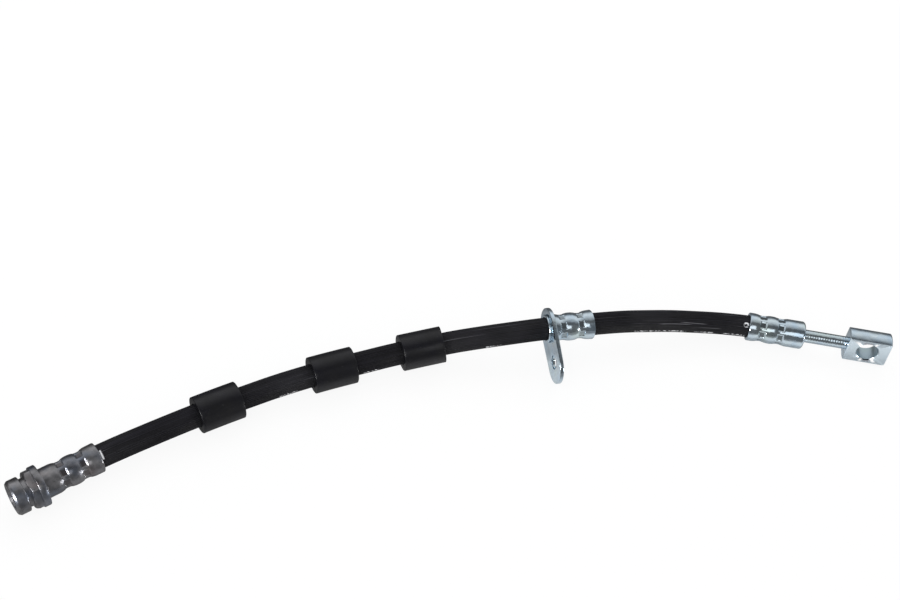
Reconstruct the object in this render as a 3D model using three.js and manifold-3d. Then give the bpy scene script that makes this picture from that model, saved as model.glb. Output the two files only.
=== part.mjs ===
// Brake hose assembly lying at rest: a rubber hose with a female end, a bracket and a banjo end.
// Millimetres, +Z up. The hose runs from the female end on the left to the banjo end on the right.
import * as THREE from 'three';
import { mergeVertices } from 'three/addons/utils/BufferGeometryUtils.js';
import Module from 'manifold-3d';

const wasm = await Module();
wasm.setup();

// Hose
const hoseRadius = 5.25;
const hoseBore = 1.6;
const hoseSides = 12;
const hoseSteps = 18;
const hoseClearance = 0.3;
const metalClearance = 0.2;

// Hose end squeezed inside a crimped shell
const pocketMouth = 4.9;
const pocketDepth = 22.9;
const crimpedHoseRadius = 4.5;
const nippleRadius = 1.8;
const nippleLength = 17.7;
const flowRadius = 1.1;

// Crimped shells
const shellWall = 1.1;
const crimpPitch = 8.7;
const crimpHalfWidth = 3.9;
const crimpDip = 0.55;
const padCount = 8;
const padLength = 2.7;
const padDepth = 0.45;
const padFlat = 2.4;
const padFlank = 1.1;
const padRise = 0.5;
const mouthFlare = 0.1;
const mouthLip = 0.45;
const shellStep = 1.1;
const turnedSegments = 32;

// Female end fitting, measured from its open front
const femaleLength = 39.2;
const femaleRingFromMouth = 7.8;
const headRadius = 7.8;
const headLength = 5.4;
const headChamfer = 1.1;
const headChamferDrop = 0.8;
const grooveRadius = 6.4;
const grooveWidth = 1.9;
const hexAcrossFlats = 16;
const hexLength = 3.3;
const hexChamfer = 0.9;
const hexChamferDrop = 1.5;
const flangeRadius = 9.15;
const flangeLength = 3.1;
const edgeBreak = 0.3;
const socketRadius = 4.6;
const socketDepth = 9.5;
const socketChamfer = 0.9;
const seatRadius = 3.4;
const seatHeight = 1.6;
const hexRoll = 39;
const femalePadRoll = 32;

// Rubber bumper sleeves, placed by the distance of their middle from the female end's mouth
const sleeveWall = 2.9;
const sleeveLength = 20;
const sleeveSegments = 32;
const sleeveMiddles = [55.6, 110.1, 152.9];

// Bracket plate and the ferrule that carries it, measured from the plate's middle
const plateThickness = 1.8;
const plateHeadRadius = 9.65;
const plateTipRadius = 8.8;
const plateTipDistance = 17.8;
const plateHoleRadius = 3.3;
const plateHoleDistance = 16.6;
const plateBevel = 0.25;
const tabDrop = 19.9;
const spigotWall = 0.45;
const lipOverhang = 0.45;
const lipThickness = 0.8;
const bracketFerruleLength = 20.7;
const bracketRingFromMouth = 6.3;
const bracketShellExtra = 0.2;
const bracketMouthExtra = 0.35;
const bracketPadDepth = 0.1;
const bracketPadRoll = 32;

// Banjo end, measured from its ferrule's mouth
const banjoFerruleLength = 26.9;
const banjoRingFromMouth = 6.5;
const ferruleEndWall = 1.6;
const ferruleEndRound = 1.2;
const banjoPadRoll = 24;
const stemRadius = 3.1;
const stemReach = 20.9;
const collarRadius = 4.4;
const blockLength = 20.3;
const blockRadius = 8.17;
const blockThickness = 8.1;
const blockEndRound = 0.9;
const blockEdge = 0.25;
const banjoHoleRadius = 5.1;
const banjoHoleChamfer = 0.45;
const blockRoll = 4.5;

// Middle line of the hose, chosen by hand. Each pair below is the straight axis of one fitting:
// the female end's pocket floor and mouth, the bracket ferrule's two ends, the banjo end's mouth
// and pocket floor.
const femaleAxis = [new THREE.Vector3(-181.4, -48.3, 9.2), new THREE.Vector3(-162.8, -35.2, 9.2)];
const bracketAxis = [new THREE.Vector3(30, 42.8, 15), new THREE.Vector3(54.7, 48.5, 13.9)];
const banjoAxis = [new THREE.Vector3(130.9, 57, 8.2), new THREE.Vector3(153.6, 53.8, 8.2)];
const bracketPlateOffset = 3;
const hosePoints = [
  femaleAxis[0],
  new THREE.Vector3(-168.4, -39.2, 9.2),
  femaleAxis[1],
  new THREE.Vector3(-153.2, -28.9, 9.1),
  new THREE.Vector3(-140.4, -20.9, 8.9),
  new THREE.Vector3(-127.5, -13.1, 8.7),
  new THREE.Vector3(-115.1, -6, 8.6),
  new THREE.Vector3(-102.3, 0.9, 8.5),
  new THREE.Vector3(-90.2, 7.1, 8.5),
  new THREE.Vector3(-78.2, 12.6, 8.5),
  new THREE.Vector3(-66.1, 17.6, 8.5),
  new THREE.Vector3(-53.1, 22.6, 8.5),
  new THREE.Vector3(-40.1, 27.4, 8.7),
  new THREE.Vector3(-25, 32.1, 9.4),
  new THREE.Vector3(-11.6, 35.3, 11),
  new THREE.Vector3(1.4, 37.6, 12.7),
  new THREE.Vector3(15.7, 39.9, 14.4),
  bracketAxis[0],
  new THREE.Vector3(42.3, 45.6, 14.5),
  bracketAxis[1],
  new THREE.Vector3(69.1, 51.4, 13.2),
  new THREE.Vector3(81, 53.4, 12.2),
  new THREE.Vector3(93, 55.4, 10.8),
  new THREE.Vector3(105.3, 56.8, 9.4),
  new THREE.Vector3(117.9, 57.6, 8.4),
  banjoAxis[0],
  new THREE.Vector3(136.6, 56.2, 8.2),
  banjoAxis[1],
];
const route = new THREE.CatmullRomCurve3(hosePoints, false, 'centripetal');

const shellBore = hoseRadius + hoseClearance;
const crimpedBore = crimpedHoseRadius + hoseClearance;
const shellRadius = shellBore + shellWall;

// A stretch of the hose's middle line between two distances from its start.
class Stretch extends THREE.Curve {
  constructor(path, from, to) {
    super();
    this.path = path;
    this.from = from;
    this.to = to;
  }

  getPoint(t, target = new THREE.Vector3()) {
    const distance = THREE.MathUtils.lerp(this.from, this.to, t);
    return this.path.getPointAt(distance / this.path.getLength(), target);
  }
}

function point(radius, along) {
  return new THREE.Vector2(radius, along);
}

function toSolid(geometry) {
  const bare = geometry.clone();
  bare.deleteAttribute('normal');
  bare.deleteAttribute('uv');
  const merged = mergeVertices(bare, 1e-4);
  const corners = merged.index.array;
  const kept = [];
  for (let i = 0; i < corners.length; i += 3) {
    const [a, b, c] = [corners[i], corners[i + 1], corners[i + 2]];
    if (a !== b && b !== c && c !== a) kept.push(a, b, c);
  }
  return new wasm.Manifold(new wasm.Mesh({
    numProp: 3,
    vertProperties: new Float32Array(merged.attributes.position.array),
    triVerts: new Uint32Array(kept),
  }));
}

function toGeometry(solid) {
  const mesh = solid.getMesh();
  const geometry = new THREE.BufferGeometry();
  geometry.setAttribute('position', new THREE.BufferAttribute(mesh.vertProperties, 3));
  geometry.setIndex(new THREE.BufferAttribute(mesh.triVerts, 1));
  geometry.computeVertexNormals();
  return geometry;
}

// Revolves an outline of radius and distance about the hose's direction, local +Z.
// The outline runs anticlockwise: outer wall forwards, inner wall back.
function revolve(outline, segments = turnedSegments) {
  const closed = outline[0].x === 0 ? outline : [...outline, outline[0].clone()];
  return toSolid(new THREE.LatheGeometry(closed, segments).rotateX(Math.PI / 2));
}

function rod(radius, from, to, segments = turnedSegments) {
  return revolve([point(0, from), point(radius, from), point(radius, to), point(0, to)], segments);
}

function box(width, height, length, x, y, z) {
  return toSolid(new THREE.BoxGeometry(width, height, length).translate(x, y, z));
}

// Outer line of a crimped shell, from its mouth at 0 to a distance past the second ring.
function crimpedLine(bodyRadius, mouthRadius, firstRing, end) {
  const rings = [firstRing, firstRing + crimpPitch];
  const points = [];
  const steps = Math.round((end - mouthLip) / shellStep);
  for (let i = 0; i <= steps; i += 1) {
    const along = THREE.MathUtils.lerp(mouthLip, end, i / steps);
    let radius = bodyRadius;
    if (along < firstRing) radius = THREE.MathUtils.lerp(mouthRadius, bodyRadius, along / firstRing);
    for (const ring of rings) {
      const reach = Math.min(Math.abs(along - ring) / crimpHalfWidth, 1);
      radius -= crimpDip * Math.cos(reach * Math.PI / 2) ** 2;
    }
    points.push(point(radius, along));
  }
  return points;
}

// Cuts the pads that the crimping jaws leave in one ring: each is flat, with a flank on both sides.
function crimpPads(body, ring, flatRadius, roll) {
  const half = padFlat / 2;
  const jaw = new THREE.Shape([
    point(half, flatRadius), point(half + padFlank, flatRadius + padRise),
    point(half + padFlank, flatRadius + shellWall), point(-half - padFlank, flatRadius + shellWall),
    point(-half - padFlank, flatRadius + padRise), point(-half, flatRadius),
  ]);
  let cut = body;
  for (let i = 0; i < padCount; i += 1) {
    const pad = new THREE.ExtrudeGeometry(jaw, { depth: padLength, bevelEnabled: false });
    pad.translate(0, 0, ring - padLength / 2);
    pad.rotateZ(THREE.MathUtils.degToRad(roll + i * 360 / padCount));
    cut = cut.subtract(toSolid(pad));
  }
  return cut;
}

// Turns distances from a mouth into distances from the other end.
function fromFarEnd(outline, length) {
  return outline.map((p) => point(p.x, length - p.y)).reverse();
}

// Places a mesh with its local +Z from one point towards another and its local +Y upwards.
function placeAlong(mesh, from, to, shift = 0) {
  const forwards = to.clone().sub(from).normalize();
  const aside = new THREE.Vector3(0, 0, 1).cross(forwards).normalize();
  const upwards = forwards.clone().cross(aside);
  mesh.quaternion.setFromRotationMatrix(new THREE.Matrix4().makeBasis(aside, upwards, forwards));
  mesh.position.copy(from).addScaledVector(forwards, shift);
  return mesh;
}

function part(name, geometry, material) {
  const mesh = new THREE.Mesh(geometry, material);
  mesh.name = name;
  return mesh;
}

const look = {
  hose: () => new THREE.MeshStandardMaterial({ color: 0x1c1c20, roughness: 0.55, metalness: 0 }),
  sleeve: () => new THREE.MeshStandardMaterial({ color: 0x1b1b1f, roughness: 0.75, metalness: 0 }),
  darkSteel: () => new THREE.MeshStandardMaterial({ color: 0x6a6866, roughness: 0.38, metalness: 1 }),
  zinc: () => new THREE.MeshStandardMaterial({ color: 0xb9c2c6, roughness: 0.24, metalness: 1 }),
};

// Rubber hose: one tube with its bore, squeezed thinner where each end sits in its shell.
function hose() {
  const mouthFrom = femaleAxis[0].distanceTo(femaleAxis[1]) - pocketMouth + hoseClearance;
  const mouthTo = route.getLength() - banjoAxis[0].distanceTo(banjoAxis[1]) + pocketMouth - hoseClearance;
  const section = new THREE.Shape().absarc(0, 0, hoseRadius, 0, 2 * Math.PI);
  section.holes.push(new THREE.Path().absarc(0, 0, hoseBore, 0, 2 * Math.PI, true));
  const tube = toSolid(new THREE.ExtrudeGeometry(section, {
    steps: hoseSteps,
    curveSegments: hoseSides / 2,
    extrudePath: new Stretch(route, mouthFrom, mouthTo),
  }));
  const overlap = 1;
  const widened = nippleRadius + hoseClearance;
  const from = pocketMouth - hoseClearance - overlap;
  const to = pocketDepth - hoseClearance;
  const squeezed = [
    point(widened, from), point(crimpedHoseRadius, from),
    point(crimpedHoseRadius, to), point(widened, to),
  ];
  const ends = [[femaleAxis[1], femaleAxis[0]], [banjoAxis[0], banjoAxis[1]]].map(([mouth, floor]) => {
    const end = placeAlong(new THREE.Object3D(), mouth, floor);
    end.updateMatrix();
    return revolve(squeezed, hoseSides).transform(end.matrix.elements);
  });
  return part('hose', toGeometry(ends.reduce((body, end) => body.add(end), tube)), look.hose());
}

function femaleEnd() {
  const grooveEnd = headLength + grooveWidth;
  const hexEnd = grooveEnd + hexLength;
  const flangeEnd = hexEnd + flangeLength;
  const shellEnd = femaleLength - flangeEnd;
  const shell = crimpedLine(shellRadius, shellRadius + mouthFlare, femaleRingFromMouth, shellEnd);
  const floor = femaleLength - pocketDepth;
  const body = revolve([
    point(socketRadius + socketChamfer, 0),
    point(headRadius - headChamferDrop, 0),
    point(headRadius, headChamfer),
    point(headRadius, headLength - edgeBreak),
    point(headRadius - edgeBreak, headLength),
    point(grooveRadius, headLength),
    point(grooveRadius, hexEnd),
    point(flangeRadius - edgeBreak, hexEnd),
    point(flangeRadius, hexEnd + edgeBreak),
    point(flangeRadius, flangeEnd - edgeBreak),
    point(flangeRadius - edgeBreak, flangeEnd),
    ...fromFarEnd(shell, femaleLength),
    point(shellRadius - mouthLip / 2, femaleLength),
    point(shellBore, femaleLength),
    point(shellBore, femaleLength - pocketMouth),
    point(crimpedBore, femaleLength - pocketMouth),
    point(crimpedBore, floor),
    point(nippleRadius, floor),
    point(nippleRadius, floor + nippleLength),
    point(flowRadius, floor + nippleLength),
    point(flowRadius, socketDepth - seatHeight),
    point(seatRadius - seatHeight, socketDepth - seatHeight),
    point(seatRadius, socketDepth),
    point(socketRadius, socketDepth),
    point(socketRadius, socketChamfer),
  ]);
  const hexCorner = hexAcrossFlats / 2 / Math.cos(Math.PI / 6);
  const prism = toSolid(new THREE.CylinderGeometry(hexCorner, hexCorner, hexLength, 6)
    .rotateX(Math.PI / 2).rotateZ(THREE.MathUtils.degToRad(hexRoll)).translate(0, 0, grooveEnd + hexLength / 2));
  const turned = revolve([
    point(grooveRadius - 1, grooveEnd),
    point(hexCorner - hexChamferDrop, grooveEnd),
    point(hexCorner, grooveEnd + hexChamfer),
    point(hexCorner, hexEnd),
    point(grooveRadius - 1, hexEnd),
  ]);
  const firstRing = femaleLength - femaleRingFromMouth;
  const flat = shellRadius - crimpDip - padDepth;
  const crimped = crimpPads(body.add(prism.intersect(turned)), firstRing, flat, femalePadRoll);
  const solid = crimpPads(crimped, firstRing - crimpPitch, flat, femalePadRoll);
  const mesh = part('female_end_fitting', toGeometry(solid), look.darkSteel());
  return placeAlong(mesh, femaleAxis[1], femaleAxis[1].clone().multiplyScalar(2).sub(femaleAxis[0]), -femaleLength);
}

function sleeve(index) {
  const inner = hoseRadius + hoseClearance;
  const section = new THREE.Shape().absarc(0, 0, inner + sleeveWall, 0, 2 * Math.PI);
  section.holes.push(new THREE.Path().absarc(0, 0, inner, 0, 2 * Math.PI, true));
  const middle = femaleAxis[0].distanceTo(femaleAxis[1]) + sleeveMiddles[index];
  const body = toSolid(new THREE.ExtrudeGeometry(section, {
    steps: 2,
    curveSegments: sleeveSegments / 2,
    extrudePath: new Stretch(route, middle - sleeveLength / 2, middle + sleeveLength / 2),
  }));
  return part(`bumper_sleeve_${index + 1}`, toGeometry(body), look.sleeve());
}

// Ferrule through the bracket plate: a spigot with a rolled lip, then a crimped shell.
function bracketFerrule() {
  const spigot = shellBore + spigotWall;
  const lip = spigot + lipOverhang + metalClearance;
  const lipEnd = -plateThickness / 2 - metalClearance;
  const shoulder = plateThickness / 2 + metalClearance;
  const radius = shellRadius + bracketShellExtra - crimpDip / 2;
  const shellEnd = bracketFerruleLength - shoulder;
  const shell = crimpedLine(radius, radius + bracketMouthExtra, bracketRingFromMouth, shellEnd);
  const body = revolve([
    point(shellBore, lipEnd - lipThickness),
    point(lip - edgeBreak, lipEnd - lipThickness),
    point(lip, lipEnd - lipThickness + edgeBreak),
    point(lip, lipEnd),
    point(spigot, lipEnd),
    point(spigot, shoulder),
    ...fromFarEnd(shell, bracketFerruleLength),
    point(radius + bracketMouthExtra - mouthLip / 2, bracketFerruleLength),
    point(shellBore, bracketFerruleLength),
  ]);
  const ring = bracketFerruleLength - bracketRingFromMouth;
  const flat = radius - crimpDip - bracketPadDepth;
  const crimped = crimpPads(body, ring, flat, bracketPadRoll);
  const solid = crimpPads(crimped, ring - crimpPitch, flat, bracketPadRoll);
  return placeAlong(
    part('bracket_ferrule', toGeometry(solid), look.zinc()), ...bracketAxis, bracketPlateOffset);
}

// Flat plate around the ferrule, with a round-ended tab and its bolt hole.
function bracketPlate() {
  const tangent = Math.acos((plateHeadRadius - plateTipRadius) / plateTipDistance);
  const outline = new THREE.Shape();
  outline.absarc(0, 0, plateHeadRadius, tangent, 2 * Math.PI - tangent);
  outline.absarc(plateTipDistance, 0, plateTipRadius, -tangent, tangent);
  const fit = shellBore + spigotWall + metalClearance;
  outline.holes.push(new THREE.Path().absarc(0, 0, fit, 0, 2 * Math.PI, true));
  outline.holes.push(new THREE.Path().absarc(plateHoleDistance, 0, plateHoleRadius, 0, 2 * Math.PI, true));
  const plate = new THREE.ExtrudeGeometry(outline, {
    depth: plateThickness - 2 * plateBevel,
    curveSegments: turnedSegments / 2,
    bevelThickness: plateBevel,
    bevelSize: plateBevel,
    bevelOffset: -plateBevel,
    bevelSegments: 1,
  });
  plate.translate(0, 0, plateBevel - plateThickness / 2);
  plate.rotateZ(THREE.MathUtils.degToRad(180 + tabDrop));
  return placeAlong(
    part('bracket_plate', toGeometry(toSolid(plate)), look.zinc()), ...bracketAxis, bracketPlateOffset);
}

// Ferrule of the banjo end: crimped over the hose and closed in behind the stem's collar.
function banjoFerrule() {
  const end = banjoFerruleLength;
  const shellEnd = end - ferruleEndRound;
  const shell = crimpedLine(shellRadius, shellRadius + mouthFlare, banjoRingFromMouth, shellEnd);
  const fit = stemRadius + metalClearance;
  const corner = new THREE.Path().absarc(shellRadius - ferruleEndRound, shellEnd, ferruleEndRound, 0, Math.PI / 2);
  const body = revolve([
    point(shellBore, 0),
    point(shellRadius - mouthLip / 2, 0),
    ...shell,
    ...corner.getPoints(2).slice(1),
    point(fit, end),
    point(fit, end - ferruleEndWall),
    point(crimpedBore, end - ferruleEndWall),
    point(crimpedBore, pocketMouth),
    point(shellBore, pocketMouth),
  ]);
  const flat = shellRadius - crimpDip - padDepth;
  const crimped = crimpPads(body, banjoRingFromMouth, flat, banjoPadRoll);
  const solid = crimpPads(crimped, banjoRingFromMouth + crimpPitch, flat, banjoPadRoll);
  return placeAlong(part('banjo_ferrule', toGeometry(solid), look.zinc()), ...banjoAxis);
}

// Banjo fitting in one piece: nipple, collar and stem turned with a bar that has two milled flats.
function banjoFitting() {
  const blockStart = banjoFerruleLength + stemReach;
  const blockEnd = blockStart + blockLength;
  const collarEnd = banjoFerruleLength - ferruleEndWall - metalClearance;
  const stem = revolve([
    point(0, pocketDepth - nippleLength),
    point(nippleRadius, pocketDepth - nippleLength),
    point(nippleRadius, pocketDepth),
    point(collarRadius, pocketDepth),
    point(collarRadius, collarEnd),
    point(stemRadius, collarEnd),
    point(stemRadius, blockStart + 1),
    point(0, blockStart + 1),
  ]);
  const corner = new THREE.Path().absarc(
    blockRadius - blockEndRound, blockEnd - blockEndRound, blockEndRound, 0, Math.PI / 2);
  const bar = revolve([
    point(0, blockStart),
    point(blockRadius - blockEdge, blockStart),
    point(blockRadius, blockStart + blockEdge),
    ...corner.getPoints(3),
    point(0, blockEnd),
  ], 2 * turnedSegments);
  const middle = (blockStart + blockEnd) / 2;
  const flats = box(blockThickness, 3 * blockRadius, 2 * blockLength, 0, 0, middle);
  const half = blockThickness / 2;
  const wide = banjoHoleRadius + banjoHoleChamfer;
  const hole = revolve([
    point(0, -half - 1),
    point(wide + 1, -half - 1),
    point(banjoHoleRadius, -half + banjoHoleChamfer),
    point(banjoHoleRadius, half - banjoHoleChamfer),
    point(wide + 1, half + 1),
    point(0, half + 1),
  ], 2 * turnedSegments).rotate([0, 90, 0]).translate([0, 0, middle]);
  const flow = rod(flowRadius, 0, middle, hoseSides);
  const solid = bar.intersect(flats).add(stem).subtract(hole).subtract(flow).rotate([0, 0, -blockRoll]);
  return placeAlong(part('banjo_fitting', toGeometry(solid), look.zinc()), ...banjoAxis);
}

const brakeHose = new THREE.Group();
brakeHose.add(hose(), femaleEnd(), bracketFerrule(), bracketPlate(), banjoFerrule(), banjoFitting());
sleeveMiddles.forEach((_, index) => brakeHose.add(sleeve(index)));

export default brakeHose;
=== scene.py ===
"""Brake hose on a pale table: ribbed rubber, crimped and turned steel, studio light and camera.

Lengths are in millimetres up to the last step, where build() turns them into metres.
"""
import math

import bmesh
import bpy
from mathutils import Matrix, Vector


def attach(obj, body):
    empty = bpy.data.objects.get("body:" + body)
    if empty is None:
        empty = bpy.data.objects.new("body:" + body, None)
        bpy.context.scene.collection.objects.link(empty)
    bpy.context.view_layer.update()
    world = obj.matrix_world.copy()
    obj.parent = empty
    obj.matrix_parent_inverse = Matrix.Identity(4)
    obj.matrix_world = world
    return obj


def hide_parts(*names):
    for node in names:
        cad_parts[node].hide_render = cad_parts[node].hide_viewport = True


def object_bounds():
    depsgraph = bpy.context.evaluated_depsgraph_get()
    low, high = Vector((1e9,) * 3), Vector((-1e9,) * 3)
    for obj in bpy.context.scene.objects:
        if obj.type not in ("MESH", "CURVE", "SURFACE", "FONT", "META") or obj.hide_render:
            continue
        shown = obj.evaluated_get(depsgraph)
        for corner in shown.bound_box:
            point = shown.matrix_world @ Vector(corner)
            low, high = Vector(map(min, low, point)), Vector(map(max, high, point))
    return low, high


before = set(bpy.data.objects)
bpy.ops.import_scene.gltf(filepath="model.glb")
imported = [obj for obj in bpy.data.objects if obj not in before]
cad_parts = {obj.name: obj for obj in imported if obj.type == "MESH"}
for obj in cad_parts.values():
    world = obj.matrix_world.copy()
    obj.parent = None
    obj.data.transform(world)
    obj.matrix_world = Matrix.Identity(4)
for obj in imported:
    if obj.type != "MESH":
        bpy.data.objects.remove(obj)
cad_low, cad_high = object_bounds()

MM = 0.001

# Sizes shared with the part
HOSE_R = 5.25
HOSE_BORE = 1.6
FLUTES = 42
SQUEEZED_R = 4.5
GAP = 0.3
METAL_GAP = 0.2
POCKET_MOUTH = 4.9
POCKET_DEPTH = 22.9
SHELL_BORE = HOSE_R + GAP
CRIMPED_BORE = SQUEEZED_R + GAP
SHELL_R = SHELL_BORE + 1.1
CRIMP_PITCH = 8.7
CRIMP_REACH = 3.9
CRIMP_DIP = 0.55
PAD_COUNT = 8
PAD_LENGTH = 2.7
PAD_DEPTH = 0.45
PAD_FLAT = 2.4
PAD_FLANK_SLOPE = 0.5 / 1.1
PAD_EASE_IN = 0.35
PAD_EASE_OUT = 0.45
PAD_SOFT_DEPTH = 0.12
NIPPLE_R = 1.8
NIPPLE_LENGTH = 17.7
FLOW_R = 1.1
SLEEVE_R = SHELL_BORE + 2.9
SLEEVE_LENGTH = 20
SLEEVE_MIDDLES = (55.6, 110.1, 152.9)
PLATE_AT = 3.0
PLATE_THICK = 1.8
SPIGOT_WALL = 0.45
BANJO_FERRULE = 26.9
END_WALL = 1.6
STEM_R = 3.1

# Steps between the rings of a crimped shell's mesh, on its pads and elsewhere
PAD_STEP = 0.16
PLAIN_STEP = 0.45

# Where the hose's print lies along it, from and to
PRINT_RUNS = ((106, 114), (146, 153), (205, 212), (278, 287), (288, 304), (309, 318), (324, 334))

# Long scratches on the hose: from, to, the turn at each end, and how pale
SCRATCHES = (
    (290, 305, 0.65, 0.645, 0.8),
    (301, 313, 0.622, 0.632, 0.7),
    (311, 321, 0.69, 0.69, 0.4),
)

# Axes of the fittings and the middle line of the hose, as in the part's source
FEMALE_AXIS = (Vector((-181.4, -48.3, 9.2)), Vector((-162.8, -35.2, 9.2)))
BRACKET_AXIS = (Vector((30, 42.8, 15)), Vector((54.7, 48.5, 13.9)))
BANJO_AXIS = (Vector((130.9, 57, 8.2)), Vector((153.6, 53.8, 8.2)))
ROUTE = [
    FEMALE_AXIS[0],
    Vector((-168.4, -39.2, 9.2)),
    FEMALE_AXIS[1],
    Vector((-153.2, -28.9, 9.1)),
    Vector((-140.4, -20.9, 8.9)),
    Vector((-127.5, -13.1, 8.7)),
    Vector((-115.1, -6, 8.6)),
    Vector((-102.3, 0.9, 8.5)),
    Vector((-90.2, 7.1, 8.5)),
    Vector((-78.2, 12.6, 8.5)),
    Vector((-66.1, 17.6, 8.5)),
    Vector((-53.1, 22.6, 8.5)),
    Vector((-40.1, 27.4, 8.7)),
    Vector((-25, 32.1, 9.4)),
    Vector((-11.6, 35.3, 11)),
    Vector((1.4, 37.6, 12.7)),
    Vector((15.7, 39.9, 14.4)),
    BRACKET_AXIS[0],
    Vector((42.3, 45.6, 14.5)),
    BRACKET_AXIS[1],
    Vector((69.1, 51.4, 13.2)),
    Vector((81, 53.4, 12.2)),
    Vector((93, 55.4, 10.8)),
    Vector((105.3, 56.8, 9.4)),
    Vector((117.9, 57.6, 8.4)),
    BANJO_AXIS[0],
    Vector((136.6, 56.2, 8.2)),
    BANJO_AXIS[1],
]


# ---------------------------------------------------------------- camera
def make_camera():
    """The photograph's view: 35 degrees wide, looking down at the table, slightly rolled."""
    data = bpy.data.cameras.new("camera")
    data.sensor_width = 36
    data.lens = 56.8
    data.clip_start = 0.01
    data.clip_end = 20
    cam = bpy.data.objects.new("camera", data)
    bpy.context.scene.collection.objects.link(cam)
    right = Vector((0.9957, 0, 0.0924)).normalized()
    up = Vector((-0.058, 0.7784, 0.6251))
    back = right.cross(up).normalized()
    up = back.cross(right)
    turn = Matrix((right, up, back)).transposed().to_4x4()
    cam.matrix_world = Matrix.Translation(Vector((-61.4, -362.0, 532.3)) * MM) @ turn
    bpy.context.scene.camera = cam


make_camera()


# ---------------------------------------------------------------- curves and frames
def catmull(points, per=12):
    """The centripetal Catmull-Rom curve through the points, as in the part's source."""
    ends = [2 * points[0] - points[1], *points, 2 * points[-1] - points[-2]]
    line = []
    for i in range(len(points) - 1):
        p0, p1, p2, p3 = ends[i : i + 4]
        d0, d1, d2 = (max((b - a).length ** 0.5, 1e-4) for a, b in ((p0, p1), (p1, p2), (p2, p3)))
        t1 = ((p1 - p0) / d0 - (p2 - p0) / (d0 + d1) + (p2 - p1) / d1) * d1
        t2 = ((p2 - p1) / d1 - (p3 - p1) / (d1 + d2) + (p3 - p2) / d2) * d1
        for k in range(per):
            t = k / per
            a = 2 * p1 - 2 * p2 + t1 + t2
            b = -3 * p1 + 3 * p2 - 2 * t1 - t2
            line.append(a * t**3 + b * t**2 + t1 * t + p1)
    line.append(points[-1].copy())
    return line


class Path:
    """A line of points that is read by the distance along it."""

    def __init__(self, points):
        self.points = points
        self.marks = [0.0]
        for a, b in zip(points, points[1:]):
            self.marks.append(self.marks[-1] + (b - a).length)
        self.length = self.marks[-1]

    def at(self, s):
        s = min(max(s, 0.0), self.length)
        low, high = 0, len(self.marks) - 2
        while low < high:
            middle = (low + high + 1) // 2
            if self.marks[middle] <= s:
                low = middle
            else:
                high = middle - 1
        part = (s - self.marks[low]) / max(self.marks[low + 1] - self.marks[low], 1e-9)
        return self.points[low].lerp(self.points[low + 1], part)

    def frame(self, s):
        """Point, sideways (away from the camera), upwards and forwards at a distance."""
        reach = 0.6
        a, b = self.at(s - reach), self.at(s + reach)
        forwards = (b - a).normalized()
        aside = Vector((0, 0, 1)).cross(forwards).normalized()
        return self.at(s), aside, forwards.cross(aside), forwards


class Axis:
    """A straight axis from one point towards another."""

    def __init__(self, start, towards, shift=0.0):
        self.forwards = (towards - start).normalized()
        self.aside = Vector((0, 0, 1)).cross(self.forwards).normalized()
        self.upwards = self.forwards.cross(self.aside)
        self.start = start + self.forwards * shift

    def frame(self, s):
        return self.start + self.forwards * s, self.aside, self.upwards, self.forwards

    def matrix(self, roll):
        """Local X aside, Y upwards and Z forwards, turned by roll degrees about Z."""
        turn = Matrix((self.aside, self.upwards, self.forwards)).transposed().to_4x4()
        place = Matrix.Translation(self.start * MM)
        return place @ turn @ Matrix.Rotation(math.radians(roll), 4, "Z")


route = Path(catmull(ROUTE))
MOUTH_S = (FEMALE_AXIS[1] - FEMALE_AXIS[0]).length
END_MOUTH_S = route.length - (BANJO_AXIS[1] - BANJO_AXIS[0]).length


# ---------------------------------------------------------------- meshes
def link(name, mesh):
    obj = bpy.data.objects.new(name, mesh)
    bpy.context.scene.collection.objects.link(obj)
    return obj


def smooth(mesh, angle):
    mesh.shade_smooth()
    mesh.set_sharp_from_angle(angle=math.radians(angle))


def turned(name, path, rings, count=96, start=0.0, sharp=32, closed=True, mark=None):
    """A skin round a path. Each ring is (distance, radius), where a radius may be a function of
    the angle in radians, counted from sideways over upwards. UV is (angle / turn, distance in m).
    A mark gives how much of a pad's floor lies at (distance, angle)."""
    bm = bmesh.new()
    layer = bm.verts.layers.float.new("pad")
    rows = []
    angles = [start + 2 * math.pi * k / count for k in range(count)]
    for s, radius in rings:
        centre, aside, upwards, _ = path.frame(s)
        row = []
        for angle in angles:
            r = radius(angle) if callable(radius) else radius
            way = aside * math.cos(angle) + upwards * math.sin(angle)
            vertex = bm.verts.new((centre + way * r) * MM)
            if mark is not None:
                vertex[layer] = mark(s, angle)
            row.append(vertex)
        rows.append(row)
    uv = bm.loops.layers.uv.new("UVMap")
    pairs = list(zip(range(len(rings)), range(1, len(rings))))
    if closed:
        pairs.append((len(rings) - 1, 0))
    for i, j in pairs:
        for k in range(count):
            m = (k + 1) % count
            face = bm.faces.new((rows[i][k], rows[i][m], rows[j][m], rows[j][k]))
            turn = ((k, i), (k + 1, i), (k + 1, j), (k, j))
            for loop, (u, v) in zip(face.loops, turn):
                loop[uv].uv = (u / count, rings[v][0] * MM)
    bmesh.ops.recalc_face_normals(bm, faces=bm.faces)
    mesh = bpy.data.meshes.new(name)
    bm.to_mesh(mesh)
    bm.free()
    smooth(mesh, sharp)
    return link(name, mesh)


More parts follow.
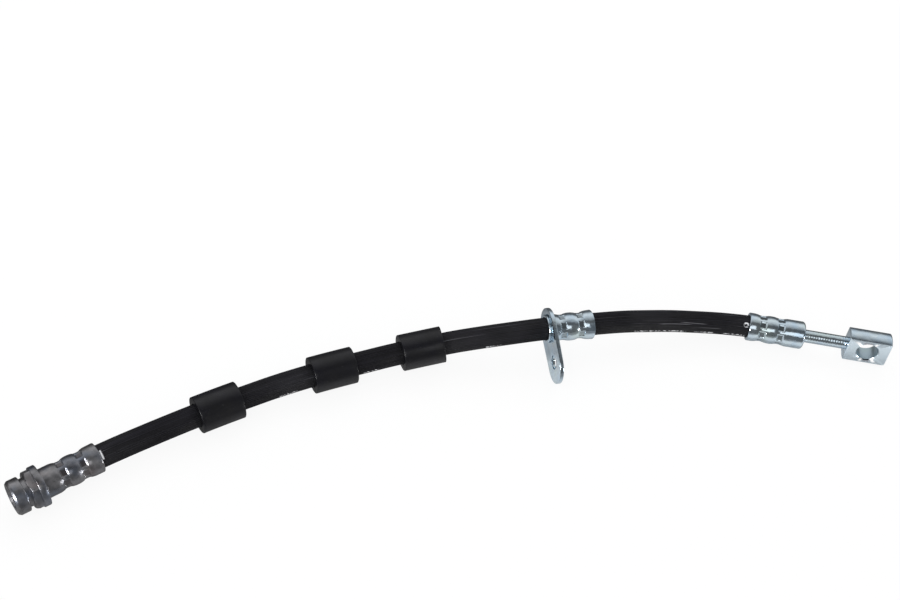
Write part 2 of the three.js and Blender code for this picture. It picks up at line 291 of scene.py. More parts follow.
def eased(points, radius, steps=3):
    """A profile with its corners rounded, apart from its first and last point."""
    smallest, nearly_straight = 0.02, 0.12
    out = [points[0]]
    for i in range(1, len(points) - 1):
        p = Vector(points[i])
        a, b = Vector(points[i - 1]) - p, Vector(points[i + 1]) - p
        reach = min(radius, a.length * 0.45, b.length * 0.45)
        if reach < smallest or abs(a.angle(b) - math.pi) < nearly_straight:
            out.append(points[i])
            continue
        start, end = p + a.normalized() * reach, p + b.normalized() * reach
        for k in range(steps + 1):
            t = k / steps
            q = start * (1 - t) ** 2 + 2 * p * t * (1 - t) + end * t**2
            out.append((q.x, q.y))
    out.append(points[-1])
    return out


def smoothstep(low, high, x):
    t = min(max((x - low) / (high - low), 0.0), 1.0)
    return t * t * (3 - 2 * t)


def from_pad(angle, roll):
    """The angle from the middle of the nearest pad of a ring."""
    pitch = 2 * math.pi / PAD_COUNT
    return (angle - math.radians(90 + roll) + pitch / 2) % pitch - pitch / 2


def crimp(radius_at, rings, roll, flat):
    """The radius of a crimped shell at (distance, angle): rings of flat pads with flanks."""
    half = PAD_FLAT / 2

    def radius(s, angle):
        r = radius_at(s)
        off = from_pad(angle, roll)
        if abs(flat * math.tan(off)) <= half:
            pad = flat / math.cos(off)
        else:
            k = PAD_FLANK_SLOPE
            pad = (flat - k * half) / (math.cos(off) - k * abs(math.sin(off)))
        for ring in rings:
            depth = 1 - smoothstep(PAD_LENGTH / 2 - PAD_EASE_IN, PAD_LENGTH / 2 + PAD_EASE_OUT,
                                   abs(s - ring))
            if depth > 0 and pad < r:
                r -= depth * (r - pad) * min(1.0, (r - pad) / PAD_SOFT_DEPTH)
        return r

    return radius


def imprint(rings, roll, flat):
    """How much of a pad's floor lies at (distance, angle), from 0 to 1, for the painted shade on
    the floors.
    """
    half = PAD_FLAT / 2

    def mark(s, angle):
        off = from_pad(angle, roll)
        side = 1 - smoothstep(half - 0.1, half + 0.2, abs(flat * math.tan(off)))
        near = min(abs(s - ring) for ring in rings)
        return side * (1 - smoothstep(PAD_LENGTH / 2 - PAD_EASE_IN, PAD_LENGTH / 2 + 0.05, near))

    return mark


def body_line(body, mouth, first, rings, from_mouth):
    """The plain radius of a crimped shell by distance: a flared mouth and two waisted rings."""

    def radius(s):
        along = from_mouth(s)
        r = body
        if along < first:
            r = mouth + (body - mouth) * along / first
        for ring in rings:
            reach = min(abs(along - ring) / CRIMP_REACH, 1)
            r -= CRIMP_DIP * math.cos(reach * math.pi / 2) ** 2
        return r

    return radius


def stations(start, end, rings):
    """Distances along a shell, close together on its rings of pads."""
    out = []
    s = start
    while s < end - 0.05:
        out.append(s)
        near = min(abs(s - ring) for ring in rings)
        s += PAD_STEP if near < PAD_LENGTH / 2 + 2 * PAD_EASE_OUT else PLAIN_STEP
    out.append(end)
    return out


def at_distance(radius, s):
    return lambda angle: radius(s, angle)


# ---------------------------------------------------------------- node helpers
class Nodes:
    """Short forms for building a node tree."""

    def __init__(self, tree):
        self.tree = tree
        tree.nodes.clear()

    def link(self, a, b):
        self.tree.links.new(a, b)

    def put(self, value, socket):
        if isinstance(value, bpy.types.NodeSocket):
            self.link(value, socket)
        elif value is not None:
            socket.default_value = value

    def node(self, kind, **settings):
        node = self.tree.nodes.new(kind)
        for key, value in settings.items():
            setattr(node, key, value)
        return node

    def coordinates(self, kind="Object"):
        return self.node("ShaderNodeTexCoord").outputs[kind]

    def split(self, kind="Object"):
        """The separate X, Y and Z of a kind of coordinates."""
        node = self.node("ShaderNodeSeparateXYZ")
        self.link(self.coordinates(kind), node.inputs[0])
        return tuple(node.outputs)

    def uv(self):
        return self.split("UV")[:2]

    def math(self, operation, a, b=None, c=None):
        node = self.node("ShaderNodeMath", operation=operation)
        for value, socket in zip((a, b, c), node.inputs):
            self.put(value, socket)
        return node.outputs[0]

    def times(self, a, b):
        return self.math("MULTIPLY", a, b)

    def most(self, *values):
        """The largest of several values."""
        most = values[0]
        for value in values[1:]:
            most = self.math("MAXIMUM", most, value)
        return most

    def vector(self, x, y, z=0.0):
        node = self.node("ShaderNodeCombineXYZ")
        for value, socket in zip((x, y, z), node.inputs):
            self.put(value, socket)
        return node.outputs[0]

    def scaled(self, vector, scale):
        node = self.node("ShaderNodeMapping")
        self.link(vector, node.inputs[0])
        node.inputs["Scale"].default_value = scale
        return node.outputs[0]

    def noise(self, vector, scale, detail=3.0, rough=0.55):
        node = self.node("ShaderNodeTexNoise")
        self.link(vector, node.inputs["Vector"])
        node.inputs["Scale"].default_value = scale
        node.inputs["Detail"].default_value = detail
        node.inputs["Roughness"].default_value = rough
        return node.outputs["Fac"]

    def stretched(self, a, b, per_a, per_b, detail, rough=0.5, layer=0.0):
        """Noise with its own number of cells per unit along each of two coordinates."""
        where = self.vector(self.times(a, per_a), self.times(b, per_b), layer)
        return self.noise(where, 1.0, detail, rough)

    def spread(self, value, low, high, to_low=0.0, to_high=1.0, ease="LINEAR"):
        node = self.node("ShaderNodeMapRange", interpolation_type=ease)
        for v, name in zip((value, low, high, to_low, to_high),
                           ("Value", "From Min", "From Max", "To Min", "To Max")):
            self.put(v, node.inputs[name])
        return node.outputs[0]

    def mix(self, factor, a, b):
        node = self.node("ShaderNodeMix", data_type="RGBA")
        self.put(factor, node.inputs[0])
        for value, socket in ((a, node.inputs[6]), (b, node.inputs[7])):
            self.put(value if isinstance(value, bpy.types.NodeSocket) else (*value, 1), socket)
        return node.outputs[2]

    def between(self, value, low, high, soft):
        """1 where the value lies between two limits, with soft edges."""
        up = self.spread(value, low - soft, low + soft)
        down = self.spread(value, high - soft, high + soft, 1.0, 0.0)
        return self.times(up, down)

    def blend(self, factor, a, b):
        """One shader turning into another."""
        node = self.node("ShaderNodeMixShader")
        for value, socket in zip((factor, a, b), node.inputs):
            self.put(value, socket)
        return node.outputs[0]

    def bump(self, height, strength, distance, normal=None):
        node = self.node("ShaderNodeBump")
        node.inputs["Strength"].default_value = strength
        node.inputs["Distance"].default_value = distance
        self.link(height, node.inputs["Height"])
        if normal is not None:
            self.link(normal, node.inputs["Normal"])
        return node.outputs[0]


class Surface(Nodes):
    """The nodes of one material, with its one shader."""

    def __init__(self, name):
        self.material = bpy.data.materials.new(name)
        self.material.use_nodes = True
        super().__init__(self.material.node_tree)
        self.bsdf = self.node("ShaderNodeBsdfPrincipled")
        self.link(self.bsdf.outputs[0], self.node("ShaderNodeOutputMaterial").inputs[0])

    def pad(self, share):
        """How much of a crimp pad's floor is here, times a share: the mask of the painted shade
        on the pads' floors.
        """
        mark = self.node("ShaderNodeAttribute", attribute_name="pad")
        return self.times(mark.outputs["Fac"], share)

    def finish(self, color, roughness, metallic, normal, specular=None):
        for value, name in ((color, "Base Color"), (roughness, "Roughness"),
                            (metallic, "Metallic"), (normal, "Normal"),
                            (specular, "Specular IOR Level")):
            self.put(value, self.bsdf.inputs[name])
        return self.material


# ---------------------------------------------------------------- materials
def hose_rubber():
    """Black rubber with extruded lines, pale scuffs and scratches, print dashes, and an arc and
    a ring of paint near its ends."""
    n = Surface("hose_rubber")
    u, v = n.uv()
    lines = n.stretched(u, v, 74, 11, 4, 0.62)
    fine = n.stretched(u, v, 200, 40, 2)
    cloud = n.noise(n.coordinates(), 45, 3, 0.5)
    grain = n.noise(n.coordinates(), 2600, 2, 0.5)
    base = n.mix(n.spread(lines, 0.38, 0.66), (0.003, 0.003, 0.004), (0.0135, 0.013, 0.0185))
    # the flutes' grooves are darker, more so in places: painted shade in the grooves
    flute = n.math("COSINE", n.times(u, 2 * math.pi * FLUTES))
    streak = n.stretched(u, v, 9, 7, 2, layer=9.0)
    groove = n.times(n.spread(flute, 0.5, -0.9), n.spread(streak, 0.42, 0.58, 0.25, 1.0))
    base = n.mix(groove, base, (0.0015, 0.0015, 0.0018))
    base = n.mix(n.spread(cloud, 0.5, 0.78, 0.0, 0.6), base, (0.0135, 0.013, 0.018))
    scuff = n.spread(n.stretched(u, v, 60, 22, 2, layer=4.0), 0.66, 0.76)
    base = n.mix(n.times(scuff, 0.6), base, (0.17, 0.17, 0.19))
    # print: runs of broken dashes in one row, low on the side that faces the camera
    row = n.between(u, 0.774, 0.803, 0.003)
    run = n.most(*(n.between(v, low * MM, high * MM, 0.0006) for low, high in PRINT_RUNS))
    chips = n.stretched(u, v, 40, 760, 2, 0.6)
    mark = n.times(n.times(row, run), n.spread(chips, 0.5, 0.54))
    base = n.mix(mark, base, (0.8, 0.8, 0.82))
    for start, end, turn, to_turn, depth in SCRATCHES:
        middle = n.spread(v, start * MM, end * MM, turn, to_turn)
        line = n.between(n.math("SUBTRACT", u, middle), -0.0035, 0.0035, 0.003)
        line = n.times(line, n.between(v, start * MM, end * MM, 0.0015))
        base = n.mix(n.times(line, depth), base, (0.22, 0.22, 0.24))
    # paint: an arc at the female end's mouth and a ring at the banjo ferrule's
    first, last = MOUTH_S * MM, END_MOUTH_S * MM
    arc = n.times(n.between(v, first + 0.0004, first + 0.0011, 0.0002),
                  n.between(u, 0.515, 0.645, 0.008))
    broken = n.spread(n.noise(n.coordinates(), 900, 2, 0.5), 0.38, 0.5)
    across = n.times(n.math("SUBTRACT", u, 0.5925), 2 * math.pi * HOSE_R * MM)
    along = n.math("SUBTRACT", v, last - 0.0017)
    far = n.math("SQRT", n.math("ADD", n.times(across, across), n.times(along, along)))
    ring = n.between(far, 0.0005, 0.00125, 0.00014)
    base = n.mix(n.times(n.most(arc, ring), broken), base, (0.82, 0.83, 0.85))
    rough = n.spread(lines, 0.3, 0.7, 0.62, 0.46)
    relief = n.bump(lines, 0.8, 0.00034)
    relief = n.bump(fine, 0.4, 0.0001, relief)
    relief = n.bump(grain, 0.2, 0.00004, relief)
    patch = n.stretched(v, u, 30, 3, 2, layer=2.0)
    return n.finish(base, rough, 0.0, relief, n.spread(patch, 0.38, 0.6, 0.15, 0.3))


def sleeve_rubber():
    """Moulded rubber with a soft shine, a little dusty, with a fine grain and handling marks."""
    n = Surface("sleeve_rubber")
    where = n.coordinates()
    cloud = n.noise(where, 130, 4, 0.6)
    grain = n.noise(where, 3400, 2, 0.5)
    base = n.mix(n.spread(cloud, 0.35, 0.7), (0.0018, 0.0018, 0.0034), (0.0045, 0.0045, 0.0078))
    specks = n.spread(n.noise(where, 1500, 2, 0.6), 0.67, 0.75)
    base = n.mix(n.times(specks, 0.3), base, (0.10, 0.10, 0.105))
    wipes = n.noise(n.scaled(where, (60, 60, 700)), 1.0, 3, 0.6)
    base = n.mix(n.spread(wipes, 0.6, 0.72, 0.0, 0.25), base, (0.024, 0.024, 0.029))
    rough = n.spread(cloud, 0.3, 0.7, 0.4, 0.27)
    relief = n.bump(cloud, 0.25, 0.0004)
    relief = n.bump(grain, 0.3, 0.00005, relief)
    return n.finish(base, rough, 0.0, relief, 0.42)


def dark_steel():
    """Dark grey plated steel: satin, with a coloured cast in places, small dull specks, and
    painted shade on the crimp pads' floors.
    """
    n = Surface("dark_steel")
    where = n.coordinates()
    cloud = n.noise(where, 160, 4, 0.6)
    tint = n.noise(where, 95, 2, 0.5)
    specks = n.noise(where, 1300, 3, 0.6)
    base = n.mix(n.spread(cloud, 0.3, 0.7), (0.12, 0.121, 0.13), (0.36, 0.357, 0.374))
    base = n.mix(n.spread(tint, 0.5, 0.66, 0.0, 0.55), base, (0.15, 0.19, 0.27))
    base = n.mix(n.spread(tint, 0.46, 0.32, 0.0, 0.4), base, (0.26, 0.205, 0.195))
    base = n.mix(n.spread(specks, 0.62, 0.72, 0.0, 0.6), base, (0.10, 0.10, 0.10))
    # painted shade on the crimp pads' floors
    base = n.mix(n.pad(0.6), base, (0.085, 0.068, 0.066))
    rough = n.spread(cloud, 0.3, 0.7, 0.25, 0.38)
    relief = n.bump(cloud, 0.35, 0.0005)
    relief = n.bump(specks, 0.22, 0.00008, relief)
    n.bsdf.inputs["Coat Weight"].default_value = 0.7
    n.bsdf.inputs["Coat Roughness"].default_value = 0.09
    return n.finish(base, rough, 0.93, relief)


def zinc(name="zinc_steel", low=0.08, high=0.17, painted_shade=0.0, marks=None):
    """Bright zinc plate with a blue cast, faint cloudiness, fine handling marks and painted shade
    on the crimp pads' floors. The roughness goes from low to high, painted shade may darken the
    whole plate by a share, and marks(n, base, relief) may add to base and relief."""
    n = Surface(name)
    where = n.coordinates()
    cloud = n.noise(where, 210, 4, 0.6)
    tint = n.noise(where, 120, 2, 0.5)
    fine = n.noise(where, 1500, 3, 0.6)
    base = n.mix(n.spread(cloud, 0.3, 0.7), (0.54, 0.64, 0.72), (0.70, 0.81, 0.88))
    base = n.mix(n.spread(tint, 0.5, 0.68, 0.0, 0.6), base, (0.50, 0.66, 0.82))
    base = n.mix(n.spread(tint, 0.46, 0.32, 0.0, 0.5), base, (0.62, 0.74, 0.70))
    # painted shade on the crimp pads' floors
    base = n.mix(n.pad(0.55), base, (0.20, 0.23, 0.235))
    # painted shade: the whole plate darkened by a share, for the inside of the bore
    if painted_shade:
        base = n.mix(painted_shade, base, (0.20, 0.30, 0.36))
    rough = n.spread(cloud, 0.3, 0.7, low, high)
    relief = n.bump(cloud, 0.35, 0.0005)
    relief = n.bump(fine, 0.14, 0.00006, relief)
    if marks is not None:
        base, relief = marks(n, base, relief)
    return n.finish(base, rough, 1.0, relief)


def turning_marks(n, base, relief):
    """Marks around a turned bar: fine lines, and a wave that breaks its shine into beads."""
    u, v = n.uv()
    beads = n.math("SINE", n.times(v, 2 * math.pi / 0.0012))
    relief = n.bump(beads, 1.0, 0.00004, relief)
    return base, n.bump(n.stretched(v, u, 1250, 14, 2, 0.7), 0.6, 0.00016, relief)


def facing_marks_and_painted_light(n, base, relief):
    """Marks around the hole of a milled flat, with painted light: four painted highlights in
    streaks at the hole's rim, which glow, painted shade in two fields between them, and painted
    shade on the chamfer at the bottom."""
    u, v = n.uv()
    relief = n.bump(n.stretched(v, u, 2600, 14, 2, 0.7), 0.6, 0.00016, relief)
    base = n.mix(0.75, base, (0.82, 0.93, 1.0))
    near = n.spread(v, 0.0074, 0.0092, 1.0, 0.0)
    below = (0.73, 0.82)
    # painted shade: two fields between the streaks darkened near the hole
    dull = n.most(n.between(u, 0.22, 0.34, 0.015), n.between(u, *below, 0.015))
    base = n.mix(n.times(n.times(dull, near), 0.6), base, (0.40, 0.38, 0.41))
    # painted shade: the chamfer nearly black at the bottom
    chamfer = n.spread(v, 0.00506, 0.0051, 1.0, 0.0)
    base = n.mix(n.times(n.between(u, *below, 0.01), chamfer), base, (0.008, 0.008, 0.01))
    # painted highlights: four white streaks at the rim, which also glow
    turns = (0.178, 0.38, 0.7, 0.8525)
    shine = n.times(n.most(*(n.between(u, t - 0.015, t + 0.015, 0.009) for t in turns)), near)
    base = n.mix(shine, base, (1.0, 1.0, 1.0))
    n.put((1, 1, 1, 1), n.bsdf.inputs["Emission Color"])
    n.put(n.times(shine, 0.5), n.bsdf.inputs["Emission Strength"])
    tangent = n.node("ShaderNodeTangent", direction_type="UV_MAP")
    n.put(tangent.outputs[0], n.bsdf.inputs["Tangent"])
    n.put(0.85, n.bsdf.inputs["Anisotropic"])
    n.put(0.25, n.bsdf.inputs["Anisotropic Rotation"])
    return base, relief


MATERIAL = {
    "hose": hose_rubber(),
    "sleeve": sleeve_rubber(),
    "dark": dark_steel(),
    "zinc": zinc(),
    "turned": zinc("zinc_turned", 0.05, 0.09, marks=turning_marks),
    "faced": zinc("zinc_faced_painted_light", 0.34, 0.42, marks=facing_marks_and_painted_light),
    # the bore: zinc darkened with painted shade inside the hole
    "bore": zinc("zinc_bore_painted_shade", 0.3, 0.4, painted_shade=0.45),
}


def dress(obj, material):
    obj.data.materials.clear()
    obj.data.materials.append(MATERIAL[material])


def stand_in(obj, node, material):
    """A finer piece in the place of one CAD node."""
    dress(obj, material)
    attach(obj, "root")
    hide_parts(node)


# ---------------------------------------------------------------- hose
def make_hose():
    start = POCKET_MOUTH - GAP
    deep = POCKET_DEPTH - GAP
    widened = NIPPLE_R + GAP
    cuff, ridge, steps, bore_steps = 1, 0.06, 230, 40
    s0, s1 = MOUTH_S - deep, END_MOUTH_S + deep
    free0, free1 = MOUTH_S - start, END_MOUTH_S + start

    def ribbed(angle):
        return HOSE_R - ridge + ridge * math.cos(FLUTES * (angle + math.pi / 2))

    rings = [(s0, widened), (s0, SQUEEZED_R), (free0, SQUEEZED_R)]
    rings += [(free0 + (free1 - free0) * k / steps, ribbed) for k in range(steps + 1)]
    rings += [(free1, SQUEEZED_R), (s1, SQUEEZED_R), (s1, widened)]
    rings += [(free1 - cuff, widened), (free1 - cuff, HOSE_BORE)]
    for k in range(bore_steps - 1, 0, -1):
        rings.append((free0 + cuff + (free1 - free0 - 2 * cuff) * k / bore_steps, HOSE_BORE))
    rings += [(free0 + cuff, HOSE_BORE), (free0 + cuff, widened)]
    obj = turned("rubber_hose", route, rings, count=252, start=-math.pi / 2, sharp=60)
    stand_in(obj, "hose", "hose")
    line = [route.at(route.length * k / 400) * MM for k in range(401)]
    line = [p for k, p in enumerate(line) if s0 <= route.length * k / 400 <= s1]
    whole = sum((b - a).length for a, b in zip(line, line[1:]))
    tuple(line[0])
    [tuple(p) for p in line]


make_hose()


# ---------------------------------------------------------------- sleeves
def make_sleeve(index):
    middle = MOUTH_S + SLEEVE_MIDDLES[index]
    low, high = middle - SLEEVE_LENGTH / 2, middle + SLEEVE_LENGTH / 2
    edge = 0.28
    outer = [(low, SHELL_BORE), (low, SLEEVE_R - edge)]
    for k in range(1, 4):
        t = math.pi / 2 * k / 4
        outer.append((low + edge - edge * math.cos(t), SLEEVE_R - edge + edge * math.sin(t)))
    outer.append((low + edge, SLEEVE_R))
    outer += [(low + SLEEVE_LENGTH * k / 12, SLEEVE_R) for k in range(1, 12)]
    outer.append((high - edge, SLEEVE_R))
    for k in range(1, 4):
        t = math.pi / 2 * k / 4
        outer.append((high - edge + edge * math.sin(t), SLEEVE_R - edge + edge * math.cos(t)))
    outer += [(high, SLEEVE_R - edge), (high, SHELL_BORE)]
    outer += [(high - SLEEVE_LENGTH * k / 6, SHELL_BORE) for k in range(1, 6)]
    name = f"bumper_sleeve_{index + 1}"
    obj = turned(f"rubber_{name}", route, outer, count=96, sharp=40)
    stand_in(obj, name, "sleeve")


for number in range(len(SLEEVE_MIDDLES)):
    make_sleeve(number)


# ---------------------------------------------------------------- female end fitting
def make_female_end():
    length, head, groove, hexagon, flange = 39.2, 5.4, 1.9, 3.3, 3.1
    head_r, groove_r, flange_r = 7.8, 6.4, 9.15
    socket_r, socket_end, countersink = 4.6, 9.5, 0.9
    seat_tip, seat_tip_r, seat_r = 7.9, 1.8, 3.4
    across_flats = 16.0
    first, roll = 7.8, 28
    axis = Axis(FEMALE_AXIS[1], 2 * FEMALE_AXIS[1] - FEMALE_AXIS[0], -length)
    groove_end = head + groove
    hex_end = groove_end + hexagon
    flange_end = hex_end + flange
    apothem = across_flats / 2
    corner = apothem / math.cos(math.pi / 6)
    turn = math.radians(129)

    def hexed(limit):
        def radius(angle):
            side = (angle - turn) % (math.pi / 3) - math.pi / 6
            return min(limit, apothem / math.cos(side))
        return radius

    rings = eased([(countersink, socket_r), (0, socket_r + countersink), (0, head_r - 0.8),
                   (1.1, head_r), (head - 0.3, head_r), (head, head_r - 0.3), (head, groove_r),
                   (groove_end, groove_r)], 0.22)
    bevel = ((0.0, 1.5), (0.3, 1.0), (0.6, 0.5), (0.9, 0), (hexagon - 0.12, 0), (hexagon, 0.12))
    rings += [(groove_end + s, hexed(corner - cut)) for s, cut in bevel]
    edge = ((0, 0.45), (0.05, 0.22), (0.16, 0.08), (0.34, 0))
    rings += [(hex_end + s, flange_r - cut) for s, cut in edge]
    rings += [(flange_end - s, flange_r - cut) for s, cut in reversed(edge)]
    rings += [(flange_end, SHELL_R + 0.35), (flange_end + 0.12, SHELL_R + 0.12)]
    pads = (length - first, length - first - CRIMP_PITCH)
    plain = body_line(SHELL_R, SHELL_R + 0.1, first, (first, first + CRIMP_PITCH),
                      lambda s: length - s)
    pad_floor = SHELL_R - CRIMP_DIP - PAD_DEPTH
    shell = crimp(plain, pads, roll, pad_floor)
    for s in stations(flange_end + 0.4, length - 0.45, pads):
        rings.append((s, at_distance(shell, s)))
    pocket = length - POCKET_MOUTH
    pocket_end = length - POCKET_DEPTH
    rings += [(length - 0.2, SHELL_R + 0.02), (length - 0.06, SHELL_R - 0.1),
              (length, SHELL_R - 0.25), (length, SHELL_BORE), (pocket, SHELL_BORE),
              (pocket, CRIMPED_BORE), (pocket_end, CRIMPED_BORE), (pocket_end, NIPPLE_R),
              (pocket_end + NIPPLE_LENGTH, NIPPLE_R), (pocket_end + NIPPLE_LENGTH, FLOW_R),
              (seat_tip, FLOW_R), (seat_tip, seat_tip_r), (socket_end, seat_r),
              (socket_end, socket_r)]
    obj = turned("steel_female_end", axis, rings, count=192, start=turn, sharp=34,
                 mark=imprint(pads, roll, pad_floor))
    stand_in(obj, "female_end_fitting", "dark")


make_female_end()


# ---------------------------------------------------------------- bracket
def make_bracket_ferrule():
    length, first, roll, pad_depth = 20.7, 6.3, 32, 0.26
    axis = Axis(*BRACKET_AXIS, PLATE_AT)
    spigot = SHELL_BORE + SPIGOT_WALL
    lip = spigot + SPIGOT_WALL + METAL_GAP
    lip_end = -PLATE_THICK / 2 - METAL_GAP
    shoulder = PLATE_THICK / 2 + METAL_GAP
    body = SHELL_R + 0.2 - CRIMP_DIP / 2
    mouth = body + 0.35
    pads = (length - first, length - first - CRIMP_PITCH)
    plain = body_line(body, mouth, first, (first, first + CRIMP_PITCH), lambda s: length - s)
    pad_floor = body - CRIMP_DIP - pad_depth
    shell = crimp(plain, pads, roll, pad_floor)
    rings = eased([(lip_end - 0.8, SHELL_BORE), (lip_end - 0.8, lip - 0.3), (lip_end - 0.5, lip),
                   (lip_end, lip), (lip_end, spigot)], 0.2)
    rings += [(shoulder, spigot), (shoulder, body - 0.45), (shoulder + 0.1, body - 0.25),
              (shoulder + 0.35, body - 0.1)]
    for s in stations(shoulder + 0.6, length - 0.45, pads):
        rings.append((s, at_distance(shell, s)))
    rings += [(length - 0.2, mouth - 0.02), (length - 0.06, mouth - 0.12), (length, mouth - 0.27),
              (length, SHELL_BORE)]
    obj = turned("zinc_bracket_ferrule", axis, rings, count=192, sharp=34,
                 mark=imprint(pads, roll, pad_floor))
    stand_in(obj, "bracket_ferrule", "zinc")


make_bracket_ferrule()


def make_bracket_plate():
    """The flat plate as one outline, with rounded edges and two holes."""
    head_r, tip_r, reach, hole_r, hole_at = 9.65, 8.8, 17.8, 3.3, 16.6
    bore = SHELL_BORE + SPIGOT_WALL + METAL_GAP
    edge, hole_edge, roll = 0.25, 0.12, 180 + 19.9
    tangent = math.acos((head_r - tip_r) / reach)

    def outline(inset):
        points = []
        for k in range(61):
            a = tangent + (2 * math.pi - 2 * tangent) * k / 60
            points.append((math.cos(a) * (head_r - inset), math.sin(a) * (head_r - inset)))
        for k in range(41):
            a = -tangent + 2 * tangent * k / 40
            points.append((reach + math.cos(a) * (tip_r - inset), math.sin(a) * (tip_r - inset)))
        return points

    def circle(x, radius):
        angles = [2 * math.pi * k / 72 for k in range(72)]
        return [(x + radius * math.cos(a), radius * math.sin(a)) for a in angles]

    bm = bmesh.new()

    def wall(make, levels):
        rows = [[bm.verts.new((x * MM, y * MM, z * MM)) for x, y in make(r)] for r, z in levels]
        for a, b in zip(rows, rows[1:]):
            for k in range(len(a)):
                m = (k + 1) % len(a)
                bm.faces.new((a[k], a[m], b[m], b[k]))
        return rows[0], rows[-1]

    half = PLATE_THICK / 2
    turns = [math.pi / 8 * k for k in range(5)]
    soft = [(edge * (1 - math.sin(t)), -half + edge * (1 - math.cos(t))) for t in turns]
    outer = wall(outline, soft + [(inset, -z) for inset, z in reversed(soft)])
    cut = hole_edge * 0.3
    rim = [(hole_edge, -half), (cut, -half + cut), (0, -half + hole_edge)]
    rim += [(inset, -z) for inset, z in reversed(rim)]
    big = wall(lambda inset: circle(0, bore + inset), rim)
    bolt = wall(lambda inset: circle(hole_at, hole_r + inset), rim)
    for side in (0, 1):
        edges = []
        for loop in (outer[side], big[side], bolt[side]):
            for k in range(len(loop)):
                edges.append(bm.edges.get((loop[k], loop[(k + 1) % len(loop)])))
        bmesh.ops.triangle_fill(bm, use_beauty=True, use_dissolve=False, edges=edges)
    bmesh.ops.recalc_face_normals(bm, faces=bm.faces)
    mesh = bpy.data.meshes.new("zinc_bracket_plate")
    bm.to_mesh(mesh)
    bm.free()
    smooth(mesh, 30)
    mesh.transform(Axis(*BRACKET_AXIS, PLATE_AT).matrix(roll=roll))
    obj = link("zinc_bracket_plate", mesh)
    stand_in(obj, "bracket_plate", "zinc")


make_bracket_plate()


# ---------------------------------------------------------------- banjo end
def make_banjo_ferrule():
    length, first, roll, end_round = BANJO_FERRULE, 6.5, 24, 1.2
    axis = Axis(*BANJO_AXIS)
    pads = (first, first + CRIMP_PITCH)
    plain = body_line(SHELL_R, SHELL_R + 0.1, first, pads, lambda s: s)
    pad_floor = SHELL_R - CRIMP_DIP - PAD_DEPTH
    shell = crimp(plain, pads, roll, pad_floor)
    fit = STEM_R + METAL_GAP
    rings = [(0, SHELL_BORE), (0, SHELL_R - 0.25), (0.06, SHELL_R - 0.1), (0.2, SHELL_R + 0.02)]
    for s in stations(0.45, length - end_round, pads):
        rings.append((s, at_distance(shell, s)))
    for k in range(1, 7):
        t = math.pi / 2 * k / 6
        rings.append((length - end_round + end_round * math.sin(t),
                      SHELL_R - end_round + end_round * math.cos(t)))
    rings += [(length, fit), (length - END_WALL, fit), (length - END_WALL, CRIMPED_BORE),
              (POCKET_MOUTH, CRIMPED_BORE), (POCKET_MOUTH, SHELL_BORE)]
    obj = turned("zinc_banjo_ferrule", axis, rings, count=192, sharp=34,
                 mark=imprint(pads, roll, pad_floor))
    stand_in(obj, "banjo_ferrule", "zinc")


make_banjo_ferrule()


def make_banjo_stem(axis, start, middle, hole_r):
    """Nipple, collar and stem turned in one, with the flow passage up to the hole. The stem
    ends inside the block."""
    collar_r, sunk, steps = 4.4, 0.6, 60
    inner = POCKET_DEPTH - NIPPLE_LENGTH
    collar_end = BANJO_FERRULE - END_WALL - METAL_GAP
    stem = [(middle - hole_r - 1.5, FLOW_R), (inner, FLOW_R)]
    collar = [(inner, FLOW_R), (inner, NIPPLE_R), (POCKET_DEPTH, NIPPLE_R),
              (POCKET_DEPTH, collar_r), (collar_end, collar_r), (collar_end, STEM_R)]
    stem += eased(collar, 0.15)[1:]
    free = start + sunk - collar_end
    stem += [(collar_end + free * k / steps, STEM_R) for k in range(1, steps + 1)]
    stem.append((start + 2 * sunk, STEM_R))
    obj = turned("zinc_banjo_stem", axis, stem, count=96, sharp=34, closed=False)
    stand_in(obj, "banjo_fitting", "turned")


